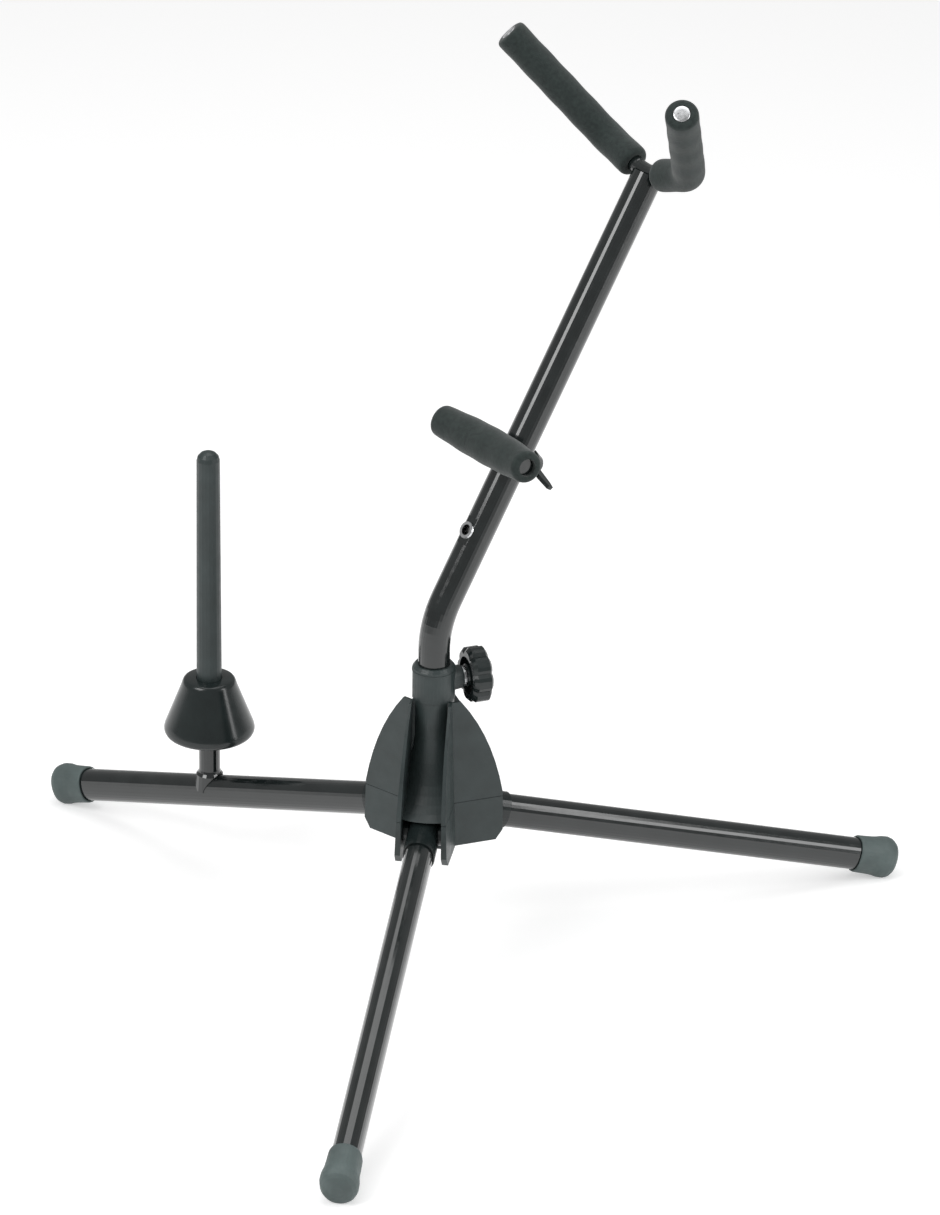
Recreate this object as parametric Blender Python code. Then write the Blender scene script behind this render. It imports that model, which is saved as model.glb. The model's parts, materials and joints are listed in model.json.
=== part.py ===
"""Folding saxophone stand with a clarinet peg, in metres, +Z up, standing on z = 0.

Three legs fold down from a moulded hub. A bent pole swivels and slides in the hub's neck under a
clamp knob, and carries a padded yoke at its top and a padded rest half way up. A peg for a second
instrument stands on the left leg.
"""

from math import asin, atan2, cos, pi, radians, sin, sqrt, tan

import bmesh
import bpy
from mathutils import Matrix, Quaternion, Vector

# Clearances
GAP = 0.0003            # between faces that touch on the real object
RUNNING = 0.0001        # round a pin or a shaft that turns

# How finely round shapes are cut
ROUND = 32
SMALL_ROUND = 20
ROD_ROUND = 16

# Tripod: where the legs point, how far the feet reach and where the legs pivot
LEG_HEADINGS = {"front": radians(-90), "right": radians(30), "left": radians(150)}
FOOT_CIRCLE_RADIUS = 0.2982
PIVOT_RADIUS = 0.0270
PIVOT_HEIGHT = 0.0930
LEG_WIDTH = 0.0170
LEG_DEPTH = 0.0204
LEG_WALL = 0.0012
LEG_OVALNESS = 2.2      # 2 is an ellipse, more is squarer
LEG_FOLD_ANGLE = radians(73)

# Rubber foot: a sleeve that swells into a blunt bulb
FOOT_SLEEVE_WALL = 0.0008
FOOT_SLEEVE_LENGTH = 0.0190
FOOT_BULB_SWELL = 0.0028    # how far the bulb stands out from the tube
FOOT_NOSE = 0.0080          # from the bulb's widest place to its blunt end
FOOT_FLAT = 0.0005          # how much is worn off where it stands

# Knuckle at the leg's inner end
PIN_RADIUS = 0.0025
KNUCKLE_WALL = 0.0008
KNUCKLE_REACH = 0.0200      # from the pivot to the end of the collar round the tube
KNUCKLE_SOCKET = 0.0110     # how deep the tube sits in that collar
KNUCKLE_BOSS_RADIUS = 0.0065
PIN_SEAT = 0.0021           # how far each end of a pin sits in the hub

# Hub: a three-pointed star whose arms are channels, in an upper and a lower half
HUB_BOTTOM = 0.0770
HUB_PARTING = 0.1050
HUB_SHOULDER = 0.1080       # where the fins' edge starts to curve in
HUB_TOP = 0.1710
FIN_REACH = 0.0395
FIN_REACH_BOTTOM = 0.0350
FIN_BOTTOM_SLOPE = 0.0060
FIN_CURVE_PULL = (0.0330, 0.1460)
FIN_THICKNESS_LOW = 0.0038
FIN_THICKNESS_TOP = 0.0014
CHANNEL_HALF_WIDTH = 0.0122
HUB_HALF_WIDTH_TOP = 0.0125
BELL_LIP_RADIUS = 0.0360
BELL_PULL = (0.0150, 0.1150)
BELL_NECK_HEIGHT = 0.1480
NECK_RADIUS = 0.0123
BELL_WALL = 0.0008
NECK_BORE_RADIUS = 0.0110
SCREW_CIRCLE = 0.0142
SCREW_RADIUS = 0.0015
SCREW_HEAD_RADIUS = 0.0026
SCREW_HEAD_HEIGHT = 0.0020
SCREW_HEAD_RECESS = 0.0050
SCREW_BITE = 0.0100         # how far a screw goes into the upper half

# Clamp collar, its knob and screw
COLLAR_RADIUS = 0.0128
COLLAR_HEIGHT = 0.0220
COLLAR_CHAMFER = 0.0020
CLAMP_HEADING = radians(30)
CLAMP_HEIGHT = 0.1815
BOSS_RADIUS = 0.0070
BOSS_REACH = 0.0172
INSERT_FLAT_RADIUS = 0.0052
INSERT_FLANGE = 0.0016
CLAMP_THREAD_RADIUS = 0.0030
PAD_RADIUS = 0.0027
PAD_LENGTH = 0.0020
KNOB_RADIUS = 0.0172
KNOB_LOBES = 8
KNOB_LOBE_DEPTH = 0.0011
KNOB_THICKNESS = 0.0125
KNOB_START = 0.0206
KNOB_HUB_RADIUS = 0.0070
KNOB_EDGE = 0.0022

# Pole: upright in the neck, then leaning
POLE_RADIUS = 0.0095
POLE_WALL = 0.0015
POLE_HEADING = radians(46.15)
POLE_LEAN = radians(31.2)
POLE_CORNER_HEIGHT = 0.2184     # where the upright and leaning axes meet
POLE_BEND_RADIUS = 0.0600
POLE_LEANING_LENGTH = 0.2925    # from that corner to the yoke
POLE_BOTTOM = 0.1120
BUSH_WALL = 0.0012
BUSH_LENGTH = 0.0600
PLUG_FLANGE = 0.0020
PLUG_SPIGOT = 0.0120

# Yoke: a bent rod across the pole's top, offsets sideways, forward and along the pole
ROD_RADIUS = 0.0050
YOKE_CORNER = (0.0393, 0.0070, 0.0105)
YOKE_TIP = (0.0815, 0.0739, 0.0407)
YOKE_CORNER_RADIUS = 0.0180
YOKE_MIDDLE_RADIUS = 0.0400
FOAM_RADIUS = 0.0097
FOAM_EDGE = 0.0028
YOKE_BARE_LENGTH = 0.0125       # bare rod on each side of the pole's middle
YOKE_ROD_RECESS = 0.0006        # rod end behind the foam's end

# Rest: a bowed rod in front of the pole, held by a stud and a wing nut
REST_DISTANCE = 0.1101          # from the pole's corner, along it
REST_HALF_WIDTH = 0.0430
REST_STANDOFF = 0.0225          # rod axis in front of the pole's axis
REST_BOW = 0.0045
REST_FOAM_RADIUS = 0.0093
REST_FOAM_MIDDLE_RADIUS = 0.0114
REST_ROD_RECESS = 0.0030
STUD_RADIUS = 0.0030
STUD_TAIL = 0.0225              # stud end behind the pole's axis
SADDLE_HALF_WIDTH = 0.0072
SADDLE_HALF_LENGTH = 0.0090
SECOND_HOLE_DISTANCE = 0.0590   # the lower fixing place, from the pole's corner
EYELET_RADIUS = 0.0054
EYELET_FLANGE = 0.0010
EYELET_SHANK_RADIUS = 0.0043
EYELET_DEPTH = 0.0022
POLE_FLAT_DEPTH = 0.0009
POLE_FLAT_HALF_LENGTH = 0.0085
WASHER_RADIUS = 0.0075
WASHER_THICKNESS = 0.0012
NUT_RADIUS = 0.0080
NUT_TOP_RADIUS = 0.0058
NUT_HEIGHT = 0.0085
WING_SPAN = 0.0195
WING_THICKNESS = 0.0024
WING_HEIGHT = 0.0065
WING_TURN = radians(-25)

# Peg on the left leg
PEG_RADIUS_ON_LEG = 0.1786      # its distance from the hub's axis
STUB_RADIUS = 0.0066
STUB_WELD = 0.0016
CONE_HEIGHT_ABOVE_LEG = 0.0400  # underside of the cone above the leg's axis
CONE_HEIGHT = 0.0380
CONE_BASE_RADIUS = 0.0280
CONE_TOP_RADIUS = 0.0163
CONE_WALL = 0.0026
CONE_HUB_RADIUS = 0.0100
CONE_CUP_DEPTH = 0.0050
SPINDLE_RADIUS = 0.0040
SPINDLE_IN_STUB = 0.0180
SPINDLE_IN_ROD = 0.0240
PEG_ROD_BASE_RADIUS = 0.0078
PEG_ROD_TIP_RADIUS = 0.0071
PEG_ROD_LENGTH = 0.1520         # above the cone
PEG_ROD_DOME = 0.0060

# Sizes that follow from those above
FOOT_BULB_HALF_DEPTH = LEG_DEPTH / 2 + FOOT_BULB_SWELL
FOOT_BULB_HALF_WIDTH = LEG_WIDTH / 2 + FOOT_BULB_SWELL
LEG_SLOPE_GUESS = atan2(PIVOT_HEIGHT - FOOT_BULB_HALF_DEPTH, FOOT_CIRCLE_RADIUS - PIVOT_RADIUS)
FOOT_REST_HEIGHT = FOOT_BULB_HALF_DEPTH * cos(LEG_SLOPE_GUESS) - FOOT_FLAT
LEG_SLOPE = atan2(PIVOT_HEIGHT - FOOT_REST_HEIGHT, FOOT_CIRCLE_RADIUS - PIVOT_RADIUS)
LEG_LENGTH = (FOOT_CIRCLE_RADIUS - PIVOT_RADIUS) / cos(LEG_SLOPE)
KNUCKLE_HALF_WIDTH = LEG_WIDTH / 2 + GAP + KNUCKLE_WALL
KNUCKLE_HALF_DEPTH = LEG_DEPTH / 2 + GAP + KNUCKLE_WALL
HUB_HALF_WIDTH_LOW = CHANNEL_HALF_WIDTH + FIN_THICKNESS_LOW
SLOT_START = PIVOT_RADIUS - KNUCKLE_HALF_DEPTH - 2 * GAP
COLLAR_TOP = HUB_TOP + COLLAR_HEIGHT
LEG_ROOF = max(PIVOT_HEIGHT + (KNUCKLE_HALF_DEPTH + GAP) / cos(LEG_SLOPE), HUB_PARTING + 2 * GAP)
LIP_HEIGHT = (LEG_ROOF + BELL_WALL
              - (sqrt(BELL_LIP_RADIUS ** 2 - CHANNEL_HALF_WIDTH ** 2) - PIVOT_RADIUS) * tan(LEG_SLOPE))
BUSH_INNER_RADIUS = POLE_RADIUS + 1.5 * RUNNING
BUSH_OUTER_RADIUS = BUSH_INNER_RADIUS + BUSH_WALL
POLE_DIRECTION = Vector((sin(POLE_LEAN), 0, cos(POLE_LEAN)))
POLE_FORWARD = Vector((-cos(POLE_LEAN), 0, sin(POLE_LEAN)))
POLE_SIDE = Vector((0, -1, 0))
CONE_TOP = CONE_HEIGHT_ABOVE_LEG + CONE_HEIGHT

# Finishes: colour, roughness, metallic
BLACK_LACQUER = ((0.012, 0.014, 0.015), 0.16, 0.0)
HUB_PLASTIC = ((0.030, 0.036, 0.037), 0.45, 0.0)
GLOSS_PLASTIC = ((0.018, 0.022, 0.022), 0.22, 0.0)
RUBBER = ((0.050, 0.056, 0.056), 0.60, 0.0)
FOAM = ((0.022, 0.029, 0.028), 0.92, 0.0)
STEEL = ((0.62, 0.63, 0.64), 0.28, 1.0)
NYLON = ((0.09, 0.09, 0.09), 0.50, 0.0)


def clear_scene():
    """Removes every object, so that the script can run again in the same file."""
    for old in list(bpy.data.objects):
        bpy.data.objects.remove(old, do_unlink=True)


def empty(name, parent, matrix=Matrix.Identity(4)):
    """A frame that pieces are parented to, placed in its parent's frame."""
    frame = bpy.data.objects.new(name, None)
    frame.empty_display_size = 0.01
    bpy.context.scene.collection.objects.link(frame)
    frame.parent = parent
    frame.matrix_local = matrix
    return frame


def axes_matrix(origin, x_axis, y_axis, z_axis):
    """The placing whose three axes and origin are given."""
    rotation = Matrix((x_axis, y_axis, z_axis)).transposed()
    return Matrix.Translation(origin) @ rotation.to_4x4()


def material(name, finish):
    """A Principled material of one colour, roughness and metallic value."""
    colour, roughness, metallic = finish
    made = bpy.data.materials.new(name)
    made.use_nodes = True
    shader = made.node_tree.nodes["Principled BSDF"]
    shader.inputs["Base Color"].default_value = (*colour, 1)
    shader.inputs["Roughness"].default_value = roughness
    shader.inputs["Metallic"].default_value = metallic
    made.diffuse_color = (*colour, 1)
    return made


def piece(name, parent, mesh, finish, matrix=Matrix.Identity(4)):
    """One named sub-part in its parent's frame."""
    made = bpy.data.objects.new(name, mesh)
    bpy.context.scene.collection.objects.link(made)
    made.parent = parent
    made.matrix_local = matrix
    mesh.materials.append(material(name, finish))
    mesh.shade_smooth()
    mesh.set_sharp_from_angle(angle=radians(35))
    return made


def helper(name, parent, mesh, matrix=Matrix.Identity(4)):
    """A shape that only cuts or joins another one."""
    made = bpy.data.objects.new(name, mesh)
    bpy.context.scene.collection.objects.link(made)
    made.parent = parent
    made.matrix_local = matrix
    made.hide_render = True
    made.display_type = "WIRE"
    return made


def combine(target, other, operation):
    """A Boolean of two objects, kept as a modifier on the first."""
    modifier = target.modifiers.new(other.name, "BOOLEAN")
    modifier.operation = operation
    modifier.solver = "EXACT"
    modifier.object = other


def loft(name, solids):
    """A mesh of closed solids, each a list of rings and whether its last ring meets its first."""
    work = bmesh.new()
    for rings, closed in solids:
        loops = [[work.verts.new(point) for point in ring] for ring in rings]
        following = loops[1:] + ([loops[0]] if closed else [])
        for here, there in zip(loops, following):
            count = len(here)
            for i in range(count):
                j = (i + 1) % count
                work.faces.new((here[i], here[j], there[j], there[i]))
        if not closed:
            work.faces.new(loops[0][::-1])
            work.faces.new(loops[-1])
    bmesh.ops.recalc_face_normals(work, faces=work.faces)
    mesh = bpy.data.meshes.new(name)
    work.to_mesh(mesh)
    work.free()
    return mesh


def circle(radius, height, sides, centre=(0, 0)):
    """Points of a level circle."""
    steps = [2 * pi * (i + 0.5) / sides for i in range(sides)]
    return [Vector((centre[0] + radius * cos(a), centre[1] + radius * sin(a), height)) for a in steps]


def turned(name, profile, sides, closed=False):
    """A solid turned round Z from (radius, height) points; closed is for a shape with a hole."""
    return loft(name, [([circle(radius, height, sides) for radius, height in profile], closed)])


def tube(name, outer, inner, low, high, sides):
    """A straight round tube."""
    return turned(name, [(outer, low), (outer, high), (inner, high), (inner, low)], sides, True)


def oval(x, half_width, half_depth, sides=ROUND, ovalness=LEG_OVALNESS):
    """Points of an upright oval in the plane across the local X axis."""
    points = []
    for i in range(sides):
        a = 2 * pi * (i + 0.5) / sides
        across = abs(cos(a)) ** (2 / ovalness) * (1 if cos(a) > 0 else -1)
        upward = abs(sin(a)) ** (2 / ovalness) * (1 if sin(a) > 0 else -1)
        points.append(Vector((x, half_width * across, half_depth * upward)))
    return points


def filleted(corners, bend_radii, steps):
    """Straight runs between corners, with an arc at each inner corner."""
    points = [corners[0]]
    for before, corner, after, radius in zip(corners, corners[1:], corners[2:], bend_radii):
        inward = (corner - before).normalized()
        outward = (after - corner).normalized()
        turn = inward.angle(outward)
        start = corner - inward * (radius * tan(turn / 2))
        centre = corner + (outward - inward).normalized() * (radius / cos(turn / 2))
        axis = inward.cross(outward).normalized()
        points += [centre + Quaternion(axis, turn * k / steps) @ (start - centre) for k in range(steps + 1)]
    return points + [corners[-1]]


def swept(points, radii, sides):
    """Rings of the given radii along a path, each square to it."""
    rings = []
    normal = None
    last = None
    for i, (point, radius) in enumerate(zip(points, radii)):
        before = points[max(i - 1, 0)]
        after = points[min(i + 1, len(points) - 1)]
        along = (after - before).normalized()
        normal = along.orthogonal().normalized() if normal is None else last.rotation_difference(along) @ normal
        last = along
        side = along.cross(normal)
        steps = [2 * pi * (k + 0.5) / sides for k in range(sides)]
        rings.append([point + (normal * cos(a) + side * sin(a)) * radius for a in steps])
    return rings


def sleeve(name, points, radii, bore, sides):
    """A padded sleeve along a path, with a bore all the way through."""
    outside = swept(points, radii, sides)
    inside = swept(points, [bore] * len(points), sides)
    return loft(name, [(outside + inside[::-1], True)])


def part_of_path(points, start, end):
    """The stretch of a path between two distances along it."""
    kept = []
    travelled = 0.0
    for here, there in zip(points, points[1:]):
        step = (there - here).length
        if not kept and travelled + step > start:
            kept.append(here.lerp(there, (start - travelled) / step))
        elif kept:
            kept.append(here.copy())
        travelled += step
        if travelled >= end:
            kept.append(there.lerp(here, (travelled - end) / step))
            break
    return kept


def path_length(points):
    """How long a path is."""
    return sum((there - here).length for here, there in zip(points, points[1:]))


def curve_point(start, pull, end, t):
    """A point of the curve from start to end that is drawn towards pull."""
    return tuple((1 - t) ** 2 * a + 2 * t * (1 - t) * b + t ** 2 * c for a, b, c in zip(start, pull, end))


def turned_to(heading):
    """A turn about the upright axis."""
    return Matrix.Rotation(heading, 4, "Z")


def prism(outline, half_width_at, headings):
    """Solids, one for each heading, from a (radius, height) outline and a width for each height."""
    solids = []
    for heading in headings:
        turn = turned_to(heading)
        sides = [[turn @ Vector((radius, side * half_width_at(height), height)) for radius, height in outline]
                 for side in (-1, 1)]
        solids.append((sides, False))
    return solids


def level(low_value, low_height, high_value, high_height, height):
    """A size that changes evenly with height."""
    share = (height - low_height) / (high_height - low_height)
    return low_value + (high_value - low_value) * share


def hub_half_width(height):
    """Half the width over a pair of fins."""
    return level(HUB_HALF_WIDTH_LOW, HUB_BOTTOM, HUB_HALF_WIDTH_TOP, HUB_TOP, height)


def channel_half_width(height):
    """Half the width between a pair of fins."""
    if height <= HUB_PARTING:
        return CHANNEL_HALF_WIDTH
    return level(CHANNEL_HALF_WIDTH, HUB_PARTING, HUB_HALF_WIDTH_TOP - FIN_THICKNESS_TOP, HUB_TOP, height)


def star_ring(reach, height):
    """The hub's outline at one height: three arms with corners between them."""
    half = hub_half_width(height)
    points = []
    for heading in sorted(LEG_HEADINGS.values()):
        turn = turned_to(heading)
        points += [turn @ Vector((reach, -half, height)), turn @ Vector((reach, half, height))]
        between = turned_to(heading + pi / 3)
        points.append(between @ Vector((half / sin(pi / 3), 0, height)))
    return points


def bell_profile(steps=8):
    """(radius, height) points down the bell from its neck to its lip."""
    neck = (NECK_RADIUS, BELL_NECK_HEIGHT)
    lip = (BELL_LIP_RADIUS, LIP_HEIGHT)
    return [curve_point(neck, BELL_PULL, lip, k / steps) for k in range(steps + 1)]


def screw_places():
    """Where the hub's screws stand, between the legs."""
    return [turned_to(heading + pi / 3) @ Vector((SCREW_CIRCLE, 0, 0)) for heading in LEG_HEADINGS.values()]


def build_hub(root):
    """The hub's two halves, the screws that join them and the legs' pivot pins."""
    hub = empty("hub_frame", root)
    headings = LEG_HEADINGS.values()
    far = FIN_REACH * 1.5
    upper_bottom = HUB_PARTING + GAP

    rings = [star_ring(FIN_REACH, upper_bottom)]
    steps = 7
    for k in range(steps + 1):
        reach, height = curve_point((FIN_REACH, HUB_SHOULDER), FIN_CURVE_PULL, (COLLAR_RADIUS, HUB_TOP), k / steps)
        rings.append(star_ring(reach, height))
    upper = piece("hub_upper", hub, loft("hub_upper", [(rings, False)]), HUB_PLASTIC)

    lip_half_width = CHANNEL_HALF_WIDTH - GAP
    lip_start = SLOT_START + GAP
    lip_block = [(lip_start, LIP_HEIGHT), (far, LIP_HEIGHT), (far, HUB_PARTING + 0.001), (lip_start, HUB_PARTING + 0.001)]
    lips = helper("hub_lips", hub, loft("hub_lips", prism(lip_block, lambda z: lip_half_width, headings)))
    outer_bell = [(0.004, HUB_TOP + 0.002), (NECK_RADIUS, HUB_TOP + 0.002)] + bell_profile()
    outer_bell += [(BELL_LIP_RADIUS, LIP_HEIGHT - 0.002), (0.004, LIP_HEIGHT - 0.002)]
    bell = helper("hub_bell", hub, turned("hub_bell", outer_bell, 2 * ROUND))
    combine(lips, bell, "INTERSECT")
    combine(upper, lips, "UNION")

    open_block = [(0.0075, upper_bottom - 0.006), (far, upper_bottom - 0.006), (far, HUB_TOP + 0.001), (0.0075, HUB_TOP + 0.001)]
    pockets = helper("hub_pockets", hub, loft("hub_pockets", prism(open_block, channel_half_width, headings)))
    combine(pockets, bell, "DIFFERENCE")
    combine(upper, pockets, "DIFFERENCE")

    top_far_out = LEG_ROOF - (far - PIVOT_RADIUS) * tan(LEG_SLOPE)
    passage_start = SLOT_START - RUNNING
    passage = [(passage_start, HUB_BOTTOM), (far, HUB_BOTTOM), (far, top_far_out), (PIVOT_RADIUS, LEG_ROOF),
               (passage_start, LEG_ROOF)]
    passages = helper("hub_leg_passages", hub, loft("hub_leg_passages", prism(passage, lambda z: CHANNEL_HALF_WIDTH, headings)))
    combine(upper, passages, "DIFFERENCE")

    keeper_solids = []
    keeper_bottom = PIVOT_HEIGHT + PIN_RADIUS + GAP
    keeper = [(PIVOT_RADIUS - PIN_RADIUS + GAP, keeper_bottom), (PIVOT_RADIUS + PIN_RADIUS - GAP, keeper_bottom),
              (PIVOT_RADIUS + PIN_RADIUS - GAP, HUB_PARTING + 0.002), (PIVOT_RADIUS - PIN_RADIUS + GAP, HUB_PARTING + 0.002)]
    for heading in headings:
        for side in (-1, 1):
            near = side * (CHANNEL_HALF_WIDTH + GAP / 2)
            out = side * (CHANNEL_HALF_WIDTH + PIN_SEAT - GAP)
            faces = [[turned_to(heading) @ Vector((radius, y, height)) for radius, height in keeper] for y in (near, out)]
            keeper_solids.append((faces, False))
    keepers = helper("hub_pin_keepers", hub, loft("hub_pin_keepers", keeper_solids))
    combine(upper, keepers, "UNION")

    screw_top = HUB_PARTING + SCREW_BITE
    holes = [([circle(NECK_BORE_RADIUS, z, ROUND) for z in (HUB_BOTTOM, HUB_TOP + 0.001)], False)]
    holes += [([circle(SCREW_RADIUS + GAP, z, SMALL_ROUND, place) for z in (HUB_PARTING - 0.001, screw_top + 0.001)], False)
              for place in screw_places()]
    bore = helper("hub_bore", hub, loft("hub_bore", holes))
    combine(upper, bore, "DIFFERENCE")

    lower_rings = [star_ring(FIN_REACH_BOTTOM, HUB_BOTTOM), star_ring(FIN_REACH, HUB_BOTTOM + FIN_BOTTOM_SLOPE),
                   star_ring(FIN_REACH, HUB_PARTING)]
    lower = piece("hub_lower", hub, loft("hub_lower", [(lower_rings, False)]), HUB_PLASTIC)
    slot = [(SLOT_START, HUB_BOTTOM - 0.001), (far, HUB_BOTTOM - 0.001), (far, HUB_PARTING + 0.001), (SLOT_START, HUB_PARTING + 0.001)]
    slots = helper("hub_slots", hub, loft("hub_slots", prism(slot, lambda z: CHANNEL_HALF_WIDTH, headings)))
    combine(lower, slots, "DIFFERENCE")
    seat_radius = PIN_RADIUS + RUNNING
    seat = [(PIVOT_RADIUS + seat_radius, HUB_PARTING + 0.001), (PIVOT_RADIUS - seat_radius, HUB_PARTING + 0.001)]
    seat += [(PIVOT_RADIUS - seat_radius * cos(pi * k / 8), PIVOT_HEIGHT - seat_radius * sin(pi * k / 8)) for k in range(9)]
    seats = helper("hub_pin_seats", hub,
                   loft("hub_pin_seats", prism(seat, lambda z: CHANNEL_HALF_WIDTH + PIN_SEAT, headings)))
    combine(lower, seats, "DIFFERENCE")
    head_top = HUB_BOTTOM + SCREW_HEAD_RECESS
    screw_hole = [(SCREW_HEAD_RADIUS + GAP, HUB_BOTTOM - 0.001), (SCREW_HEAD_RADIUS + GAP, head_top),
                  (SCREW_RADIUS + GAP, head_top), (SCREW_RADIUS + GAP, HUB_PARTING + 0.001)]
    screw_holes = helper("hub_screw_holes", hub, loft("hub_screw_holes", [
        ([circle(radius, z, SMALL_ROUND, place) for radius, z in screw_hole], False) for place in screw_places()]))
    combine(lower, screw_holes, "DIFFERENCE")

    head_low = head_top - SCREW_HEAD_HEIGHT - GAP
    screw = [(SCREW_HEAD_RADIUS, head_low), (SCREW_HEAD_RADIUS, head_top - GAP), (SCREW_RADIUS, head_top - GAP),
             (SCREW_RADIUS, screw_top)]
    for number, place in enumerate(screw_places(), 1):
        piece(f"hub_screw_{number}", hub, turned("hub_screw", screw, SMALL_ROUND), STEEL, Matrix.Translation(place))

    pin_half = CHANNEL_HALF_WIDTH + PIN_SEAT - GAP
    for name, heading in LEG_HEADINGS.items():
        place = turned_to(heading) @ Matrix.Translation((PIVOT_RADIUS, 0, PIVOT_HEIGHT)) @ Matrix.Rotation(pi / 2, 4, "X")
        pin = turned("leg_pin", [(PIN_RADIUS, -pin_half), (PIN_RADIUS, pin_half)], SMALL_ROUND)
        piece(f"leg_pin_{name}", hub, pin, STEEL, place)
    return hub


def build_collar(hub):
    """The collar on the neck, with a threaded insert in its boss."""
    outside = [(COLLAR_RADIUS, HUB_TOP + GAP), (COLLAR_RADIUS, COLLAR_TOP - COLLAR_CHAMFER),
               (COLLAR_RADIUS - COLLAR_CHAMFER * 0.8, COLLAR_TOP)]
    collar = piece("clamp_collar", hub, turned("clamp_collar", outside, ROUND), HUB_PLASTIC)
    clamp = empty("clamp_frame", hub, Matrix.Translation((0, 0, CLAMP_HEIGHT)) @ turned_to(CLAMP_HEADING)
                  @ Matrix.Rotation(pi / 2, 4, "Y"))
    boss = helper("collar_boss", clamp, turned("collar_boss", [
        (BOSS_RADIUS + 0.0008, POLE_RADIUS), (BOSS_RADIUS, BOSS_REACH)], ROUND))
    combine(collar, boss, "UNION")
    bore = helper("collar_bore", hub, turned("collar_bore", [
        (POLE_RADIUS + 2 * RUNNING, HUB_TOP - 0.001), (POLE_RADIUS + 2 * RUNNING, COLLAR_TOP + 0.001)], ROUND))
    combine(collar, bore, "DIFFERENCE")
    insert_start = COLLAR_RADIUS - 0.0004
    insert_room = INSERT_FLAT_RADIUS + GAP
    seat = helper("insert_seat", clamp, turned("insert_seat", [
        (PAD_RADIUS + GAP, 0.004), (PAD_RADIUS + GAP, insert_start - GAP), (insert_room, insert_start - GAP),
        (insert_room, BOSS_REACH + 0.001)], 6 * 4))
    combine(collar, seat, "DIFFERENCE")
    thread = CLAMP_THREAD_RADIUS + RUNNING
    piece("clamp_insert", clamp, turned("clamp_insert", [
        (INSERT_FLAT_RADIUS, insert_start), (INSERT_FLAT_RADIUS, BOSS_REACH + GAP),
        (BOSS_RADIUS - 0.0008, BOSS_REACH + GAP), (BOSS_RADIUS - 0.0008, BOSS_REACH + GAP + INSERT_FLANGE),
        (thread, BOSS_REACH + GAP + INSERT_FLANGE), (thread, insert_start)], SMALL_ROUND, True), STEEL)
    return clamp


def knob_ring(radius, lobe_depth, height):
    """The knob's lobed outline at one height."""
    steps = 6 * KNOB_LOBES
    points = []
    for i in range(steps):
        a = 2 * pi * i / steps
        reach = radius - lobe_depth * (1 - abs(cos(a * KNOB_LOBES / 2))) ** 1.5 * 2
        points.append(Vector((reach * cos(a), reach * sin(a), height)))
    return points


def build_clamp(clamp):
    """The pad that presses on the pole, and the knob with its screw."""
    pad_start = POLE_RADIUS + GAP
    pad_frame = empty("clamp_pad_frame", clamp)
    piece("clamp_pad", pad_frame, turned("clamp_pad", [
        (PAD_RADIUS, pad_start), (PAD_RADIUS, pad_start + PAD_LENGTH)], SMALL_ROUND), NYLON)
    knob_frame = empty("clamp_knob_frame", pad_frame)
    knob_end = KNOB_START + KNOB_THICKNESS
    knob_floor = KNOB_START + 0.0035
    hub_start = BOSS_REACH + INSERT_FLANGE + 3 * GAP
    stud_end = knob_floor + 0.0060
    piece("clamp_screw", knob_frame, turned("clamp_screw", [
        (PAD_RADIUS - 0.0003, pad_start + PAD_LENGTH + GAP), (PAD_RADIUS, COLLAR_RADIUS),
        (CLAMP_THREAD_RADIUS, COLLAR_RADIUS + 0.0005), (CLAMP_THREAD_RADIUS, stud_end)], SMALL_ROUND), STEEL)
    rings = [knob_ring(KNOB_RADIUS - KNOB_EDGE, KNOB_LOBE_DEPTH, KNOB_START),
             knob_ring(KNOB_RADIUS, KNOB_LOBE_DEPTH, KNOB_START + KNOB_EDGE),
             knob_ring(KNOB_RADIUS, KNOB_LOBE_DEPTH, knob_end - KNOB_EDGE),
             knob_ring(KNOB_RADIUS - KNOB_EDGE, KNOB_LOBE_DEPTH, knob_end - KNOB_EDGE * 0.3),
             knob_ring(KNOB_RADIUS - 2 * KNOB_EDGE, KNOB_LOBE_DEPTH, knob_end)]
    knob = piece("clamp_knob", knob_frame, loft("clamp_knob", [(rings, False)]), GLOSS_PLASTIC)
    dish = helper("knob_dish", knob_frame, turned("knob_dish", [
        (KNOB_RADIUS - 2 * KNOB_EDGE - 0.0012, KNOB_START - 0.001), (KNOB_RADIUS - 2 * KNOB_EDGE - 0.0020, knob_floor),
        (KNOB_HUB_RADIUS, knob_floor), (KNOB_HUB_RADIUS, KNOB_START - 0.001)], ROUND, True))
    combine(knob, dish, "DIFFERENCE")
    hub = helper("knob_hub", knob_frame, turned("knob_hub", [
        (KNOB_HUB_RADIUS, knob_floor + 0.001), (KNOB_HUB_RADIUS, KNOB_START), (KNOB_HUB_RADIUS - 0.0008, hub_start)], ROUND))
    combine(knob, hub, "UNION")
    hole = helper("knob_hole", knob_frame, turned("knob_hole", [
        (CLAMP_THREAD_RADIUS + RUNNING, hub_start - 0.001), (CLAMP_THREAD_RADIUS + RUNNING, stud_end + GAP)], SMALL_ROUND))
    combine(knob, hole, "DIFFERENCE")


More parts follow.
